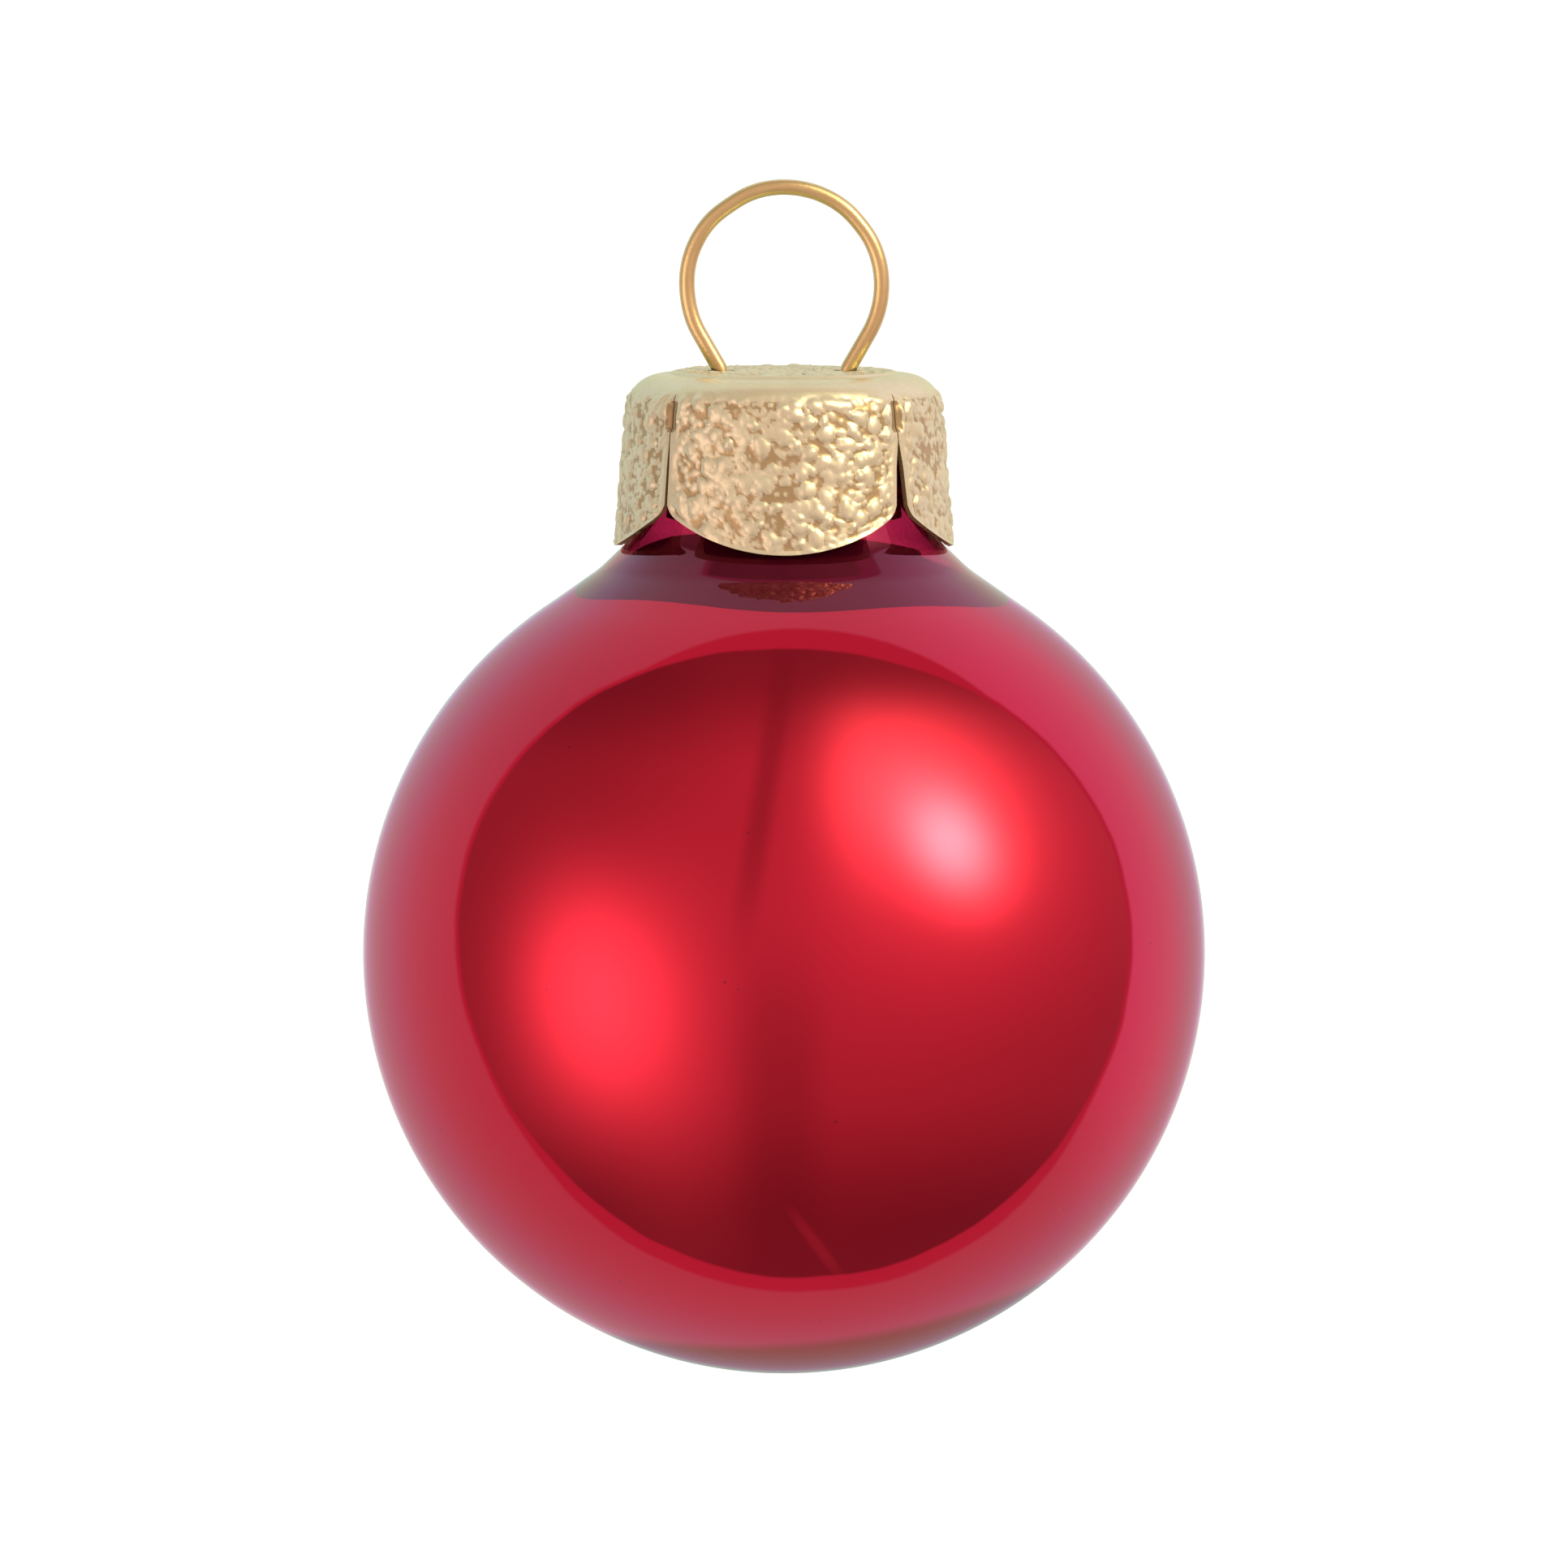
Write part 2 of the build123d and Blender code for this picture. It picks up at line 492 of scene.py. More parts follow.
def ball_profile(inset):
    """The wall's outside, or the surface inset inside it, from the bottom up to the neck's rim.

    The same point of the list lies on the same normal to the wall whatever the inset.
    """
    stretches = [arc(0, 0, BALL_RADIUS - inset, -90, 90 + BALL_END, BALL_STEPS)]
    start = polar(BALL_RADIUS - inset, BALL_END)
    tilt = BALL_END
    for radius, next_tilt, length, bend_steps, straight_steps in (
        (JOIN_RADIUS, SLOPE, SLOPE_LENGTH, 3, 16),
        (BEND_RADIUS, CONE, CONE_LENGTH, 10, 8),
        (FLARE_RADIUS, 0, None, 12, 8),
    ):
        stretches.append(hollow_curve(start, radius + inset, tilt, next_tilt, bend_steps))
        start = start + polar(radius + inset, tilt) - polar(radius + inset, next_tilt)
        if length is None:
            end = np.array((start[0], above_centre(BALL_HIGH.z) - GLASS_WALL / 2))
        else:
            end = start + polar(length, next_tilt + 90)
        stretches.append(line(start, end, straight_steps))
        start, tilt = end, next_tilt
    return np.vstack((*stretches, [start]))


def silver_edge(turn):
    """How far up the wall the silver's uneven edge is, in mm, turn radians right of the front.

    It is highest at the back, where it reaches the neck.
    """
    behind = BACK_RISE * (1 - np.cos(turn)) - BACK_LEAN * np.sin(turn)
    around = EDGE_WAVE * np.cos(EDGE_WAVES * turn) + EDGE_LEAN * np.sin(turn)
    return behind * fade(np.abs(turn), *BACK_FROM) - around


def make_ball():
    """The blown shell, outside and inside, as one closed mesh with an edge where the silver ends."""
    turn = 2 * math.pi * np.arange(BALL_SEGMENTS) / BALL_SEGMENTS
    outside = ball_profile(0)
    inside = ball_profile(GLASS_WALL)
    steps = np.linalg.norm(np.diff(outside, axis=0), axis=1)
    climb = np.concatenate(([0], np.cumsum(steps)))
    silver_end = int(np.argmin(np.abs(outside[:, 1] - SILVER_TOP)))
    reach = np.clip(1 - np.abs(climb - climb[silver_end]) / SILVER_REACH, 0, 1)
    from_front = (turn + 1.5 * math.pi) % (2 * math.pi) - math.pi
    moved = climb[:, None] + silver_edge(from_front) * reach[:, None]
    around = np.ones(BALL_SEGMENTS)
    half_wall = GLASS_WALL / 2
    rim = arc(inside[-1, 0] + half_wall, inside[-1, 1], half_wall, 0, 180, RIM_STEPS)[1:]
    radius = np.vstack((
        np.interp(moved, climb, outside[:, 0])[1:],
        rim[:, :1] * around,
        np.interp(moved, climb, inside[:, 0])[:0:-1],
    ))
    height = np.vstack((
        np.interp(moved, climb, outside[:, 1])[1:],
        rim[:, 1:] * around,
        np.interp(moved, climb, inside[:, 1])[:0:-1],
    ))
    points, faces = lathe(radius, height, (-BALL_RADIUS, GLASS_WALL - BALL_RADIUS))
    above_silver = len(outside) - 1 - silver_end
    row_counts = (silver_end, above_silver, len(rim) + 1 + above_silver, silver_end)
    face_materials = np.repeat(range(4), np.multiply(row_counts, BALL_SEGMENTS))
    materials = [red_mirror_glass(), red_clear_glass(), clear_glass(), silver_inside()]
    ball = make_piece("ball_shell", points, faces, materials, face_materials)
    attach(ball, "ball")
    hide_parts("glass_ball")
    return ball


# Cap


def edge_height(turn):
    """Height of a tab's rounded lower edge, turn radians from the middle of the tab."""
    across = TAB_EDGE_REACH * np.sin(turn)
    corner = np.clip((np.abs(turn) - TAB_CORNER_START) / TAB_CORNER_SWEEP, 0, 1)
    drop = TAB_EDGE_RADIUS - np.sqrt(TAB_EDGE_RADIUS ** 2 - across ** 2)
    return TAB_TIP + TAB_EDGE_CLEAR + drop + TAB_CORNER_RISE * corner ** 3


def slit_half_width(height, mouth):
    """Half the width of a slit beside a tab: a fine cut that widens into its mouth."""
    heights = [SLIT_MOUTH_END, SLIT_WAIST_END, SLIT_WAIST_TOP, SLIT_TOP - SLIT_TAPER, SLIT_TOP]
    cut = np.interp(height, heights, [0.0, SLIT_CUT, SLIT_CUT, SLIT_CUT, 0.0])
    widening = np.interp(height, heights, [1.0, 0.5, 0.0, 0.0, 0.0])
    return cut + widening * mouth


def cap_profile(distance):
    """Radius and height of the cap's outside, this far from the top of the shoulder."""
    bend = SHOULDER_RADIUS * (math.pi / 2 - SKIRT_FLARE)
    turn = np.clip(distance, 0, bend) / SHOULDER_RADIUS
    beyond = np.clip(distance - bend, 0, None)
    radius = SHOULDER_CENTRE + SHOULDER_RADIUS * np.sin(turn) + beyond * math.sin(SKIRT_FLARE)
    height = CAP_TOP - SHOULDER_RADIUS * (1 - np.cos(turn)) - beyond * math.cos(SKIRT_FLARE)
    return radius, height


def pebbles(x, y, reach_x, reach_y, wraps):
    """Embossed relief from 0 to 1 at points (x, y): a crowd of small grains round larger stones.

    With wraps, x is a way round that closes at the end of reach_x.
    """
    width = reach_x[1] - reach_x[0]
    area = width * (reach_y[1] - reach_y[0])

    def dome(smallest, largest, longest):
        """Squared distance from a random pebble's middle, which is 1 on its edge."""
        away_x = x - random.uniform(*reach_x)
        if wraps:
            away_x = (away_x + width / 2) % width - width / 2
        away_y = y - random.uniform(*reach_y)
        size = random.uniform(smallest, largest)
        stretch = random.uniform(1.0, longest)
        turn = random.uniform(0, math.pi)
        along = (away_x * math.cos(turn) + away_y * math.sin(turn)) / (size * stretch)
        across = (away_y * math.cos(turn) - away_x * math.sin(turn)) / size
        return along ** 2 + across ** 2

    relief = np.zeros_like(x)
    for count_per_mm2, heights, sizes, longest, power in (GRAINS, STONES):
        for _ in range(int(area * count_per_mm2)):
            height = random.uniform(*heights)
            inside = np.clip(1 - dome(*sizes, longest), 0, None)
            relief = np.maximum(relief, height * inside ** power)
    return relief


def ring_points(x, y, radius, count):
    """Points round a circle, from the direction of the front left slit."""
    turn = 2 * math.pi * np.arange(count) / count - math.pi / TAB_COUNT - math.pi / 2
    return np.column_stack((x + radius * np.cos(turn), y + radius * np.sin(turn)))


def disc_points():
    """Points of the disc's triangles, and their faces: a hexagonal grid round two wire holes."""
    columns = TAB_COUNT * (TAB_COLUMNS - 1)
    edge = ring_points(0, 0, DISC_EDGE, columns)
    holes = [
        ring_points(side * WIRE_HOLE_X, 0, WIRE_HOLE_RADIUS, WIRE_HOLE_SIDES)
        for side in (-1, 1)
    ]
    reach = int(DISC_EDGE / DISC_GRID) + 2
    row, column = np.meshgrid(np.arange(-reach, reach + 1), np.arange(-reach, reach + 1))
    x = ((column + 0.5 * (row % 2)) * DISC_GRID).ravel()
    y = (row * DISC_GRID * math.sqrt(0.75)).ravel()
    kept = np.hypot(x, y) < DISC_EDGE - DISC_MARGIN
    for side in (-1, 1):
        kept &= np.hypot(x - side * WIRE_HOLE_X, y) > WIRE_HOLE_RADIUS + DISC_MARGIN
    points = np.vstack((edge, *holes, np.column_stack((x, y))[kept]))
    edges = []
    first = 0
    for ring in (edge, *holes):
        edges += [(first + k, first + (k + 1) % len(ring)) for k in range(len(ring))]
        first += len(ring)
    vectors = [Vector(p) for p in points]
    found, _, faces, *_ = geometry.delaunay_2d_cdt(vectors, edges, [], 0, MERGE_DISTANCE)
    flat = np.array(found)
    middles = np.array([flat[list(face)].mean(axis=0) for face in faces])
    outside = np.ones(len(faces), bool)
    for side in (-1, 1):
        away = np.hypot(middles[:, 0] - side * WIRE_HOLE_X, middles[:, 1])
        outside &= away > WIRE_HOLE_RADIUS * 0.99  # the holes' sides are a little inside the circle
    return flat, [face for face, kept in zip(faces, outside) if kept]


def disc():
    """The raised, embossed disc on top of the cap: points, faces and each point's relief."""
    flat, faces = disc_points()
    x, y = flat.T
    reach = (-DISC_RADIUS, DISC_RADIUS)
    relief = pebbles(x, y, reach, reach, False)
    mask = fade(DISC_EDGE - np.hypot(x, y), *EMBOSS_FROM_RIM)
    for side in (-1, 1):
        mask *= fade(np.hypot(x - side * WIRE_HOLE_X, y) - WIRE_HOLE_RADIUS, *EMBOSS_FROM_HOLE)
    height = CAP_TOP + DISC_RISE + (relief - EMBOSS_LEVEL) * EMBOSS_DEPTH * mask
    return np.column_stack((x, y, height)), faces, 1 - mask * (1 - relief)


def skirt():
    """The ring round the disc, the shoulder and the four tabs.

    Gives points, faces, each point's relief and which faces are pressed in. The columns beside a
    slit part along its two sides, so each tab has columns of its own.
    """
    quarter = 2 * math.pi / TAB_COUNT
    share = np.linspace(-1, 1, TAB_COLUMNS)
    level = np.ones(TAB_COLUMNS)
    slit_start = SHOULDER_RADIUS * math.acos(1 - (CAP_TOP - SLIT_TOP) / SHOULDER_RADIUS)
    bend = SHOULDER_RADIUS * (math.pi / 2 - SKIRT_FLARE)
    bend_height = cap_profile(np.array(bend))[1]
    end = bend + (bend_height - edge_height(share * quarter / 2)) / math.cos(SKIRT_FLARE)
    upper = np.linspace(0, slit_start, SHOULDER_ROWS, endpoint=False)[:, None] * level
    lower = slit_start + np.linspace(0, 1, SKIRT_ROWS)[:, None] * (end - slit_start)
    distance = np.vstack((upper, lower))
    radius, height = cap_profile(distance)
    tilt = np.clip(distance / SHOULDER_RADIUS, 0, math.pi / 2 - SKIRT_FLARE)

    ring_radius = np.linspace(DISC_EDGE, SHOULDER_CENTRE, RING_ROWS, endpoint=False)
    step = 1 - fade(ring_radius, DISC_RADIUS - DISC_BLEND, DISC_RADIUS + DISC_RISE + DISC_BLEND)
    ring_height = CAP_TOP + DISC_RISE * step

    embossed = fade(distance, *EMBOSS_FROM_TOP) * fade(end - distance, *EMBOSS_FROM_EDGE)
    head = fade(height, *DENT_FOOT) * (1 - fade(height, *DENT_TOP))
    around = np.hstack([share * quarter / 2 + tab * quarter for tab in range(TAB_COUNT)])
    around = np.vstack([around] * len(distance)) * MEAN_RADIUS
    down = np.hstack([distance] * TAB_COUNT)
    relief = pebbles(around, down, (0, 2 * math.pi * MEAN_RADIUS), SKIRT_PEBBLES, True)
    points, faces, reliefs, pressed = [], [], [], []
    for tab in range(TAB_COUNT):
        mouth = np.where(share < 0, SLIT_MOUTHS[tab], SLIT_MOUTHS[(tab + 1) % TAB_COUNT])
        opening = np.where(distance >= slit_start, slit_half_width(height, mouth), 0.0)
        pull = np.sign(share) * np.abs(share) ** SLIT_BEND
        turn = share * quarter / 2 - pull * opening / radius
        from_slit = (quarter / 2 - np.abs(turn)) * radius
        dent = head * (1 - fade(from_slit, *DENT_SIDE))
        own = relief[:, tab * TAB_COLUMNS:(tab + 1) * TAB_COLUMNS]
        mask = embossed * fade(from_slit - opening, *EMBOSS_FROM_SLIT)
        lift = (own - EMBOSS_LEVEL) * EMBOSS_DEPTH * mask - DENT_DEPTH * dent
        # painted shade: the gold is browned beside each slit, below the top of the slits
        slit_shade = (1 - fade(from_slit - opening, *SLIT_SHADE_FADE)) * (distance >= slit_start)
        toned = (1 - mask * (1 - own)) * (1 - slit_shade)
        reliefs.append(np.vstack((np.ones((RING_ROWS, TAB_COLUMNS)), toned)).ravel())
        out = radius + lift * np.sin(tilt)
        up = height + lift * np.cos(tilt)
        all_out = np.vstack((ring_radius[:, None] * level, out))
        all_up = np.vstack((ring_height[:, None] * level, up))
        all_turn = np.vstack((np.ones((RING_ROWS, 1)) * share * quarter / 2, turn))
        all_dent = np.vstack((np.zeros((RING_ROWS, TAB_COLUMNS)), dent))
        around = all_turn + tab * quarter - math.pi / 2
        first = sum(len(p) for p in points)
        points.append(np.column_stack((
            (all_out * np.cos(around)).ravel(),
            (all_out * np.sin(around)).ravel(),
            all_up.ravel(),
        )))
        rows = len(all_out)
        for row in range(rows - 1):
            for column in range(TAB_COLUMNS - 1):
                corner = first + row * TAB_COLUMNS + column
                faces.append((corner, corner + TAB_COLUMNS, corner + TAB_COLUMNS + 1, corner + 1))
                # faces deep in a slit head's dent take the darker gold: painted shade
                depth = all_dent[row:row + 2, column:column + 2].mean()
                pressed.append(int(depth > DENT_SHARE))
    return np.vstack(points), faces, np.concatenate(reliefs), pressed


def finish_sheet(piece, thickness):
    """Welds the piece's seams, gives it a wall and keeps the wall's edges sharp."""
    built = bmesh.new()
    built.from_mesh(piece.data)
    bmesh.ops.remove_doubles(built, verts=built.verts, dist=MERGE_DISTANCE)
    built.to_mesh(piece.data)
    built.free()
    wall = piece.modifiers.new("wall", "SOLIDIFY")
    wall.thickness = thickness
    wall.offset = -1
    wall.material_offset_rim = 1
    graph = bpy.context.evaluated_depsgraph_get()
    solid = bpy.data.meshes.new_from_object(piece.evaluated_get(graph))
    piece.modifiers.clear()
    built = bmesh.new()
    built.from_mesh(solid)
    for edge in built.edges:
        edge.smooth = len(edge.link_faces) != 2 or edge.calc_face_angle() < SHARP_ANGLE
    built.to_mesh(solid)
    built.free()
    solid.name = piece.name
    piece.data = solid


def make_cap():
    """The pressed sheet: embossed disc, smooth shoulder and four embossed tabs."""
    disc_part, disc_faces, disc_relief = disc()
    skirt_part, skirt_faces, skirt_relief, pressed = skirt()
    shift = len(disc_part)
    faces = list(disc_faces) + [tuple(k + shift for k in face) for face in skirt_faces]
    # the hollow colour is painted shade in the pebbles' hollows and beside the slits, partly lacquer
    # gathered in the hollows
    hollow_shade = (0.38, 0.28, 0.12, 1)
    gold = satin_gold("embossed_gold", (0.66, 0.63, 0.38, 1), (0.55, 0.49, 0.27, 1), hollow_shade)
    # the darker gold is painted shade on the dents' faces, and it also covers the sheet's cut edges
    cut_edge_and_dent_shade_gold = satin_gold("cut_edge_and_dent_shade_gold", (0.36, 0.27, 0.12, 1), (0.28, 0.20, 0.08, 1), hollow_shade)
    points = np.vstack((disc_part, skirt_part))
    cap = make_piece("cap_shell", points, faces, [gold, cut_edge_and_dent_shade_gold], [0] * len(disc_faces) + pressed)
    # each point's relief: low in the hollows and beside the slits, where the gold is browned as
    # painted shade
    relief = cap.data.attributes.new("relief", "FLOAT", "POINT")
    relief.data.foreach_set("value", np.concatenate((disc_relief, skirt_relief)))
    finish_sheet(cap, SHEET * MM)
    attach(cap, "cap")
    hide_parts("metal_cap")
    return cap


# Wire


def wire_path():
    """The wire's middle line, in X and height, from the left leg's tip over the loop to the right."""
    loop_x = LOOP_RADIUS * math.cos(LOOP_END)
    loop_z = LOOP_CENTRE + LOOP_RADIUS * math.sin(LOOP_END)
    corner_x = loop_x + (loop_z - CORNER_HEIGHT) * math.tan(LOOP_END)
    leg_x = corner_x + (CORNER_HEIGHT - LEG_END) * math.tan(LEG_SPREAD)
    half_turn = (LEG_SPREAD - LOOP_END) / 2
    trim = CORNER_RADIUS * math.tan(half_turn)
    upper = np.array((-math.sin(LOOP_END), math.cos(LOOP_END)))
    lower = np.array((math.sin(LEG_SPREAD), -math.cos(LEG_SPREAD)))
    corner = np.array((corner_x, CORNER_HEIGHT))
    middle_turn = (LEG_SPREAD + LOOP_END) / 2
    away = np.array((math.cos(middle_turn), math.sin(middle_turn)))
    bend_centre = corner + CORNER_RADIUS / math.cos(half_turn) * away
    above, below = math.degrees(LOOP_END), math.degrees(LEG_SPREAD)
    right = np.vstack((
        line((loop_x, loop_z), corner + trim * upper, FLANK_STEPS),
        arc(*bend_centre, CORNER_RADIUS, 180 + above, below - above, BEND_STEPS),
        line(corner + trim * lower, (leg_x, LEG_END), LEG_STEPS),
        [(leg_x, LEG_END)],
    ))
    loop = arc(0, LOOP_CENTRE, LOOP_RADIUS, 180 - above, 2 * above - 180, LOOP_STEPS)
    left = right[::-1] * (-1, 1)
    return np.vstack((left[:-1], loop, right))


def hand_bent(path):
    """Shallow flats in the loop, where the wire was held while it was bent."""
    x, z = path.T
    from_middle = z - LOOP_CENTRE
    turn = np.degrees(np.arctan2(from_middle, x))
    inward = np.zeros_like(turn)
    for middle, width, depth in WIRE_FLATS:
        away = (turn - middle + 180) % 360 - 180
        inward += depth * np.exp(-(away / width) ** 2)
    share = 1 - inward / LOOP_RADIUS
    return np.column_stack((x * share, LOOP_CENTRE + from_middle * share))


def make_wire():
    """A round wire along the path, with cut ends that are slightly rounded."""
    path = hand_bent(wire_path())
    along = np.gradient(path, axis=0)
    along /= np.linalg.norm(along, axis=1)[:, None]
    across = np.column_stack((along[:, 1], -along[:, 0]))
    radius = np.full(len(path), WIRE_RADIUS)
    for k, inset in enumerate(TIP_INSETS):
        radius[k] = radius[-1 - k] = WIRE_RADIUS - inset
    turn = 2 * math.pi * np.arange(WIRE_SIDES) / WIRE_SIDES
    points = []
    for (x, z), (across_x, across_z), size in zip(path, across, radius):
        for angle in turn:
            side = size * math.cos(angle)
            points.append((x + across_x * side, size * math.sin(angle), z + across_z * side))
    faces = []
    for ring in range(len(path) - 1):
        for k in range(WIRE_SIDES):
            following = (k + 1) % WIRE_SIDES
            low, high = ring * WIRE_SIDES, (ring + 1) * WIRE_SIDES
            faces.append((low + k, low + following, high + following, high + k))
    last = (len(path) - 1) * WIRE_SIDES
    faces.append(tuple(range(WIRE_SIDES))[::-1])
    faces.append(tuple(last + k for k in range(WIRE_SIDES)))
    wire = make_piece("hanger_wire", points, faces, [wire_gold()])
    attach(wire, "hanger")
    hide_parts("wire_hanger")
    return wire


# Camera, floor and studio. Their distances are in metres.

CAMERA_DISTANCE = 0.7
CAMERA_HEIGHT = math.radians(4.5)
VIEW_WIDTH = 0.0744
AIM_ABOVE_BALL = 0.00802
FLOOR_BELOW = 0.05
FLOOR_REACH = 6.0

# The studio is painted by direction. A direction is named by where the ball shows it from the
# front: u to the right and v up, as shares of the ball's radius, so that (0, 0) is towards the
# camera. Lights and marks are given as middle, half size, turn in degrees and strength.
WHITE = (1, 1, 1, 1)
EVEN_LIGHT = (1.12, 1.12, 1.12, 1)
ROOM_MIDDLE = (0.024, -0.01)
ROOM_RADIUS = 0.764
BOARD_MIDDLE = (0.03, 0.045)
BOARD_RADIUS = 0.717
BOARD_COLOUR = (0.70, 0.26, 0.48, 1)
RIGHT_LIGHT = math.radians(20)
SHADE_MIDDLE = (-0.113, 0.871)
SHADE_RADIUS = 1.803
SHADE_COLOUR = (0.46, 0.60, 0.50, 1)
WALL_LEVEL = 0.4
WALL_LIGHTS = (
    ((0.05, -0.15), (0.6, 0.85), 0, 0.2),
    ((-0.1, 0.55), (0.12, 0.2), 0, 0.12),
)
LAMP_ON_WALL = ((0.4, 0.2), (0.4, 0.35), 0, 0.6)
WINDOW_LIGHTS = (
    ((-0.44, -0.1), (0.16, 0.24), 10, 3.1),
    ((-0.25, -0.15), (0.15, 0.45), 0, 0.5),
)
LAMP_LIGHTS = (
    ((0.39, 0.26), (0.115, 0.085), -55, 10),
    ((0.3, 0.36), (0.23, 0.17), -35, 2.6),
)
WALL_COLOUR = (1.0, 0.56, 0.74)
WINDOW_COLOUR = (0.65, 0.45, 0.48)
LAMP_COLOUR = (1.0, 1.0, 0.78)


def make_camera():
    """A long lens a little above the ornament. Gives the direction from the ball to the camera."""
    data = bpy.data.cameras.new("camera")
    camera = bpy.data.objects.new("camera", data)
    bpy.context.scene.collection.objects.link(camera)
    aim = Vector((0, 0, CENTRE_Z + AIM_ABOVE_BALL))
    back = Vector((0, -math.cos(CAMERA_HEIGHT), math.sin(CAMERA_HEIGHT)))
    camera.location = aim + back * CAMERA_DISTANCE
    camera.rotation_mode = "QUATERNION"
    camera.rotation_quaternion = (-back).to_track_quat("-Z", "Y")
    data.lens = data.sensor_width * CAMERA_DISTANCE / VIEW_WIDTH
    data.clip_start = 0.01
    data.clip_end = 20.0
    bpy.context.scene.camera = camera
    return (camera.location - Vector((0, 0, CENTRE_Z))).normalized()


def make_floor():
    """A wide pale floor well below the ornament, left out of its reflections."""
    height = BALL_LOW.z - FLOOR_BELOW
    signs = ((-1, -1), (1, -1), (1, 1), (-1, 1))
    mesh = bpy.data.meshes.new("floor")
    corners = [(x * FLOOR_REACH, y * FLOOR_REACH, height) for x, y in signs]
    mesh.from_pydata(corners, [], [(0, 1, 2, 3)])
    material, _, _ = new_material("pale_floor", {
        "Base Color": (0.9, 0.9, 0.9, 1),
        "Roughness": 0.9,
        "Specular IOR Level": 0.0,
    })
    mesh.materials.append(material)
    floor = bpy.data.objects.new("floor", mesh)
    bpy.context.scene.collection.objects.link(floor)
    floor.visible_glossy = False


def turned(u, v, middle, turn):
    """The place as seen from a middle, along axes turned by this many degrees."""
    cosine, sine = math.cos(math.radians(turn)), math.sin(math.radians(turn))
    x = u - middle[0]
    y = v - middle[1]
    return x * cosine + y * sine, y * cosine - x * sine


def soft_box(u, v, middle, half, turn, soft):
    """1 inside a rounded rectangle of the studio, 0 outside, with an edge of relative width soft."""
    x, y = turned(u, v, middle, turn)
    far = ((x / half[0]).absolute().power(3) + (y / half[1]).absolute().power(3)).power(1 / 3)
    return far.ramp(1 - soft, 1 + soft, 1, 0)


def hypotenuse(x, y):
    """The distance from (0, 0)."""
    return (x.power(2) + y.power(2)).power(0.5)


def soft_disc(u, v, middle, radius, soft):
    """1 inside a circle, 0 outside, with an edge soft wide on each side."""
    return hypotenuse(u - middle[0], v - middle[1]).ramp(radius - soft, radius + soft, 1, 0)


def glow(u, v, middle, size, turn, strength):
    """A bell-shaped glow that is this strong in its middle."""
    x, y = turned(u, v, middle, turn)
    far = (x / size[0]).power(2) + (y / size[1]).power(2)
    return (-far).math("EXPONENT") * strength


def glows(u, v, lights):
    """Several glows added up."""
    return sum(glow(u, v, *light) for light in lights)


def scaled(tree, level, colour):
    """A colour times a level that varies."""
    red, green, blue = (level * share for share in colour)
    parts = {"Red": red, "Green": green, "Blue": blue}
    return node(tree, "ShaderNodeCombineColor", parts).outputs[0]


def ball_view(tree, toward):
    """Where the ball shows the direction that a ray takes, from the front: u and v."""
    direction = node(tree, "ShaderNodeTexCoord").outputs["Generated"]
    halfway = node(tree, "ShaderNodeVectorMath", operation="ADD")
    put(tree, halfway.inputs[0], direction)
    halfway.inputs[1].default_value = toward
    facing = node(tree, "ShaderNodeVectorMath", operation="NORMALIZE")
    put(tree, facing.inputs[0], halfway.outputs[0])
    right = Vector((1, 0, 0))
    up = toward.cross(right)
    return dot(tree, facing.outputs[0], right), dot(tree, facing.outputs[0], up)


def room_opening(tree, u, v):
    """1 in the room that opens behind the camera, and 1 in it and on the red board round it.

    The opening is nearly round and wider than high, and the board stands behind its top.
    """
    place = node(tree, "ShaderNodeCombineXYZ", {"X": u, "Y": v}).outputs[0]
    x = u - ROOM_MIDDLE[0]
    y = v - ROOM_MIDDLE[1]
    turn = x.math("ARCTAN2", y)
    widened = (turn * 2 - 0.36).math("COSINE") * 0.0256
    three_sided = (turn * 3).math("COSINE") * 0.016
    uneven = (noise(tree, place, 0.2, detail=2) - 0.5) * 0.014
    beyond = hypotenuse(x, y) - (ROOM_RADIUS - widened - three_sided) + uneven
    room = beyond.ramp(-0.004, 0.004, 1, 0)
    fringe = (beyond - v.ramp(-0.3, -0.7) * 0.025).ramp(0.004, 0.014, 1, 0)
    board = soft_disc(u, v, BOARD_MIDDLE, BOARD_RADIUS, 0.005)
    return room, fringe.at_least(board)


def paper_colour(tree, u, v):
    """White paper round the room, brightest on the right and towards the ball's rim."""
    rim = hypotenuse(u, v)
    low = v.ramp(-0.2, -0.8)
    up_left = u.ramp(-0.1, -0.6) * v.ramp(0.1, 0.6)
    right = (u * math.cos(RIGHT_LIGHT) + v * math.sin(RIGHT_LIGHT)).ramp(0.35, 0.75)
    red = 0.77 + right * 0.20 * rim.ramp(0.90, 0.99, 1, 0) - low * 0.05 - up_left * 0.08
    green = 0.82 - v.ramp(0.1, -0.5) * 0.13
    green = green * (1 + v.ramp(0.1, 0.6) * rim.ramp(0.83, 0.97) * 0.1)
    inner_blue = 1 + (right * 0.32 - 0.15) * rim.ramp(0.83, 0.93, 1, 0)
    blue = green * rim.ramp(0.92, 0.985, 1.42, 0.90) * inner_blue
    parts = {"Red": red, "Green": green, "Blue": blue}
    paper = node(tree, "ShaderNodeCombineColor", parts).outputs[0]
    shade = 1 - soft_disc(u, v, SHADE_MIDDLE, SHADE_RADIUS, 0.014)
    return mix_colour(tree, shade, paper, SHADE_COLOUR)


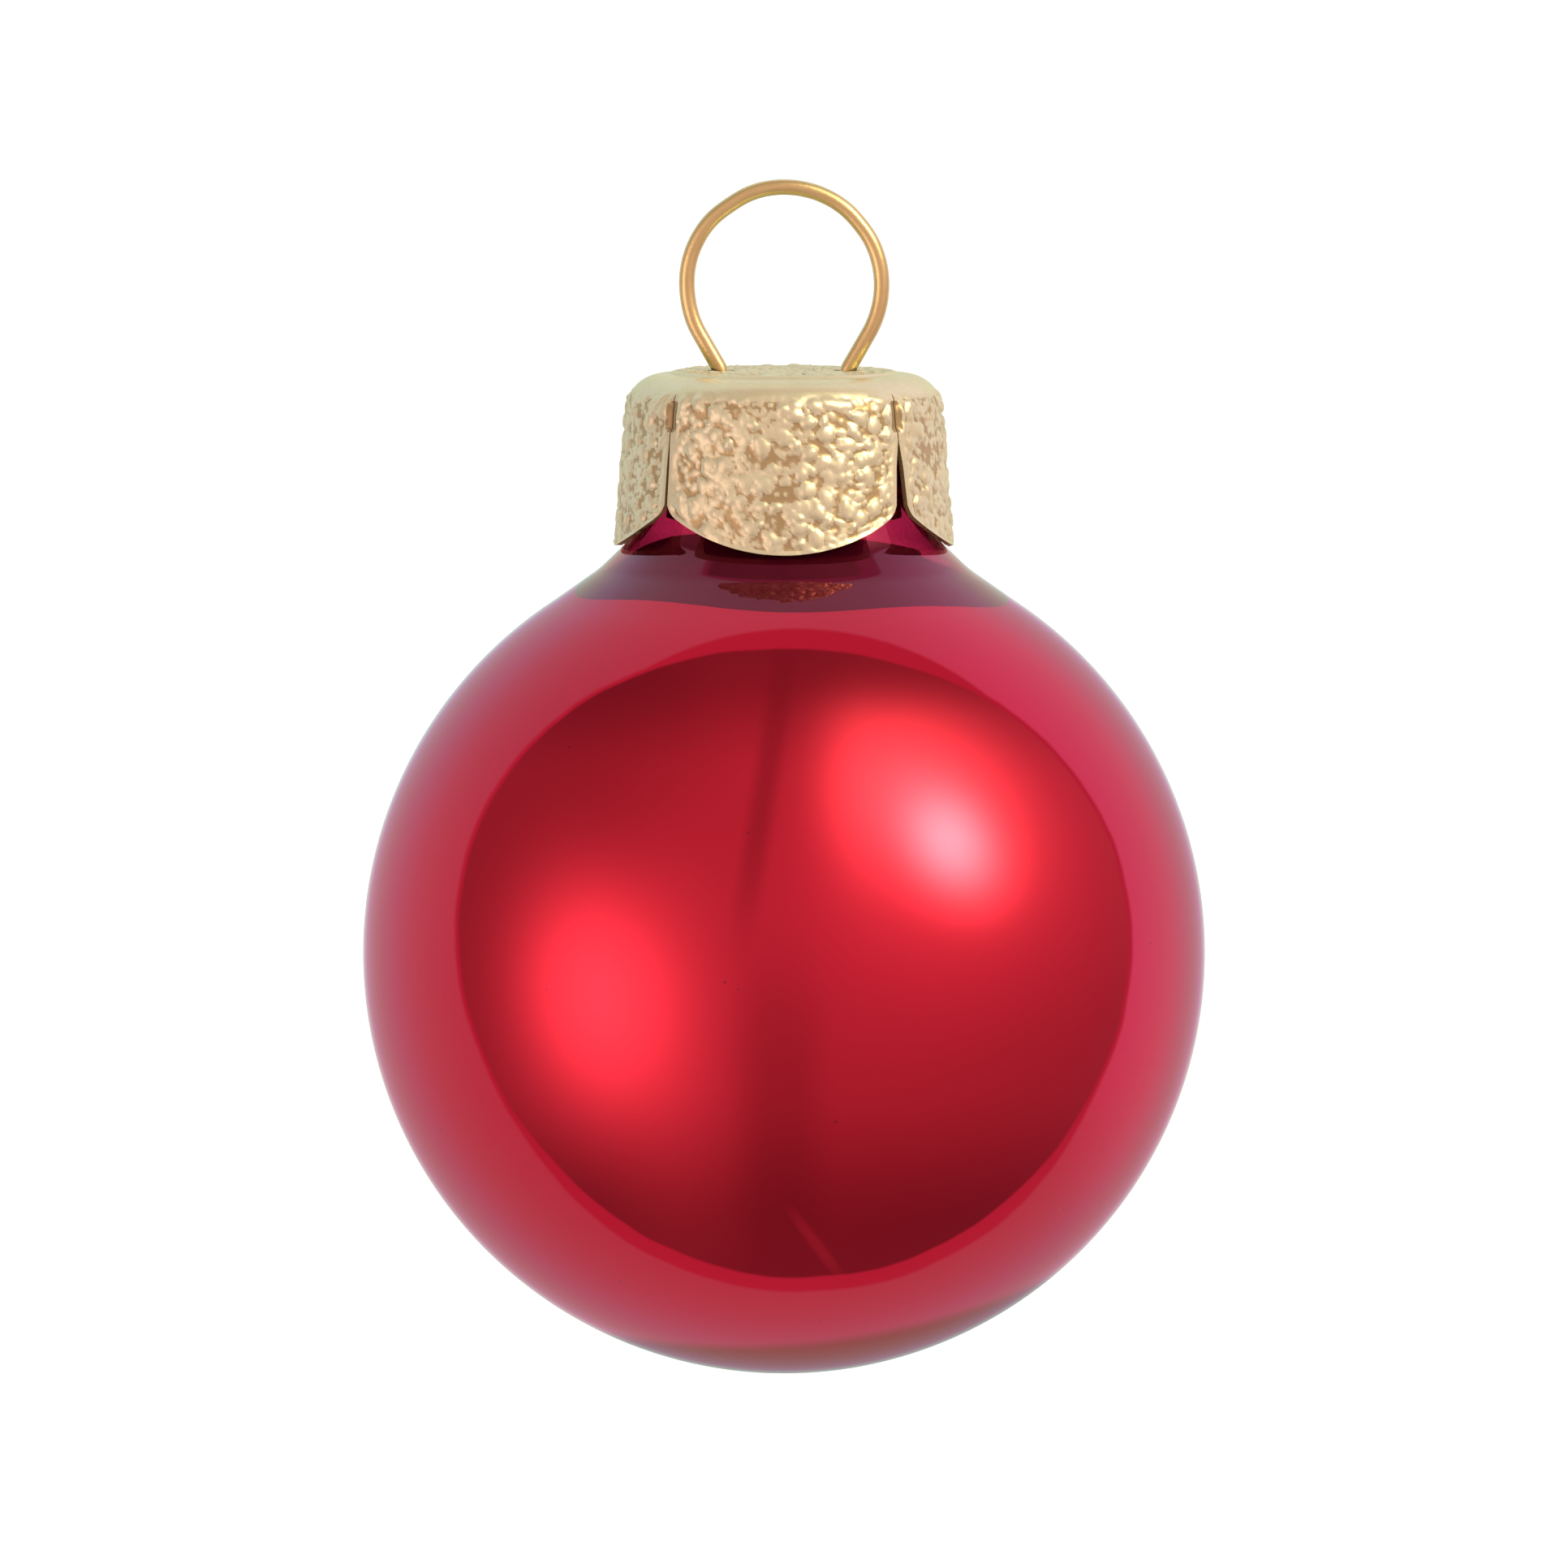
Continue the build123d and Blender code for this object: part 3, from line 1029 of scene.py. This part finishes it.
def room_colour(tree, u, v):
    """Dark walls, a lamp on the right and a curtained window on the left."""
    walls = WALL_LEVEL + glows(u, v, WALL_LIGHTS)
    walls = walls * (1 - v.ramp(0.4, 0.65) * 0.4) * (1 - v.ramp(-0.3, -0.65) * 0.45)
    walls = walls + glow(u, v, *LAMP_ON_WALL)
    post = soft_box(u, v, (-0.05, 0.35), (0.026, 0.24), -9, 0.8) * 0.3
    gap = soft_box(u, v, (-0.01, -0.36), (0.085, 0.27), 0, 0.7) * 0.2
    seam = soft_box(u, v, (0.075, -0.685), (0.012, 0.085), 37, 0.6) * 0.12
    dimming = (1 - post) * (1 - gap)
    walls = scaled(tree, walls * dimming + seam, WALL_COLOUR)
    window = scaled(tree, glows(u, v, WINDOW_LIGHTS) * dimming, WINDOW_COLOUR)
    lamp = glows(u, v, LAMP_LIGHTS) * u.ramp(-0.03, 0.19, 0.12, 1.0) * v.ramp(0.54, 0.68, 1.0, 0.3)
    lamp = scaled(tree, lamp, LAMP_COLOUR)
    lit = mix_colour(tree, 1.0, walls, window, "ADD")
    return mix_colour(tree, 1.0, lit, lamp, "ADD")


def make_studio(toward):
    """A white studio with a darker room behind the camera, which the ball mirrors.

    The camera sees plain white, and what isn't glossy is lit evenly.
    """
    world = bpy.data.worlds.new("studio")
    bpy.context.scene.world = world
    world.use_nodes = True
    tree = world.node_tree
    u, v = ball_view(tree, toward)
    room, surround = room_opening(tree, u, v)
    edges = mix_colour(tree, surround, paper_colour(tree, u, v), BOARD_COLOUR)
    seen = mix_colour(tree, room, edges, room_colour(tree, u, v))
    path = node(tree, "ShaderNodeLightPath")
    colour = mix_colour(tree, path.outputs["Is Diffuse Ray"], seen, EVEN_LIGHT)
    colour = mix_colour(tree, path.outputs["Is Camera Ray"], colour, WHITE)
    put(tree, tree.nodes["Background"].inputs["Color"], colour)


bpy.context.scene.view_settings.view_transform = "Standard"
toward_camera = make_camera()
make_floor()
make_studio(toward_camera)
make_ball()
make_cap()
make_wire()
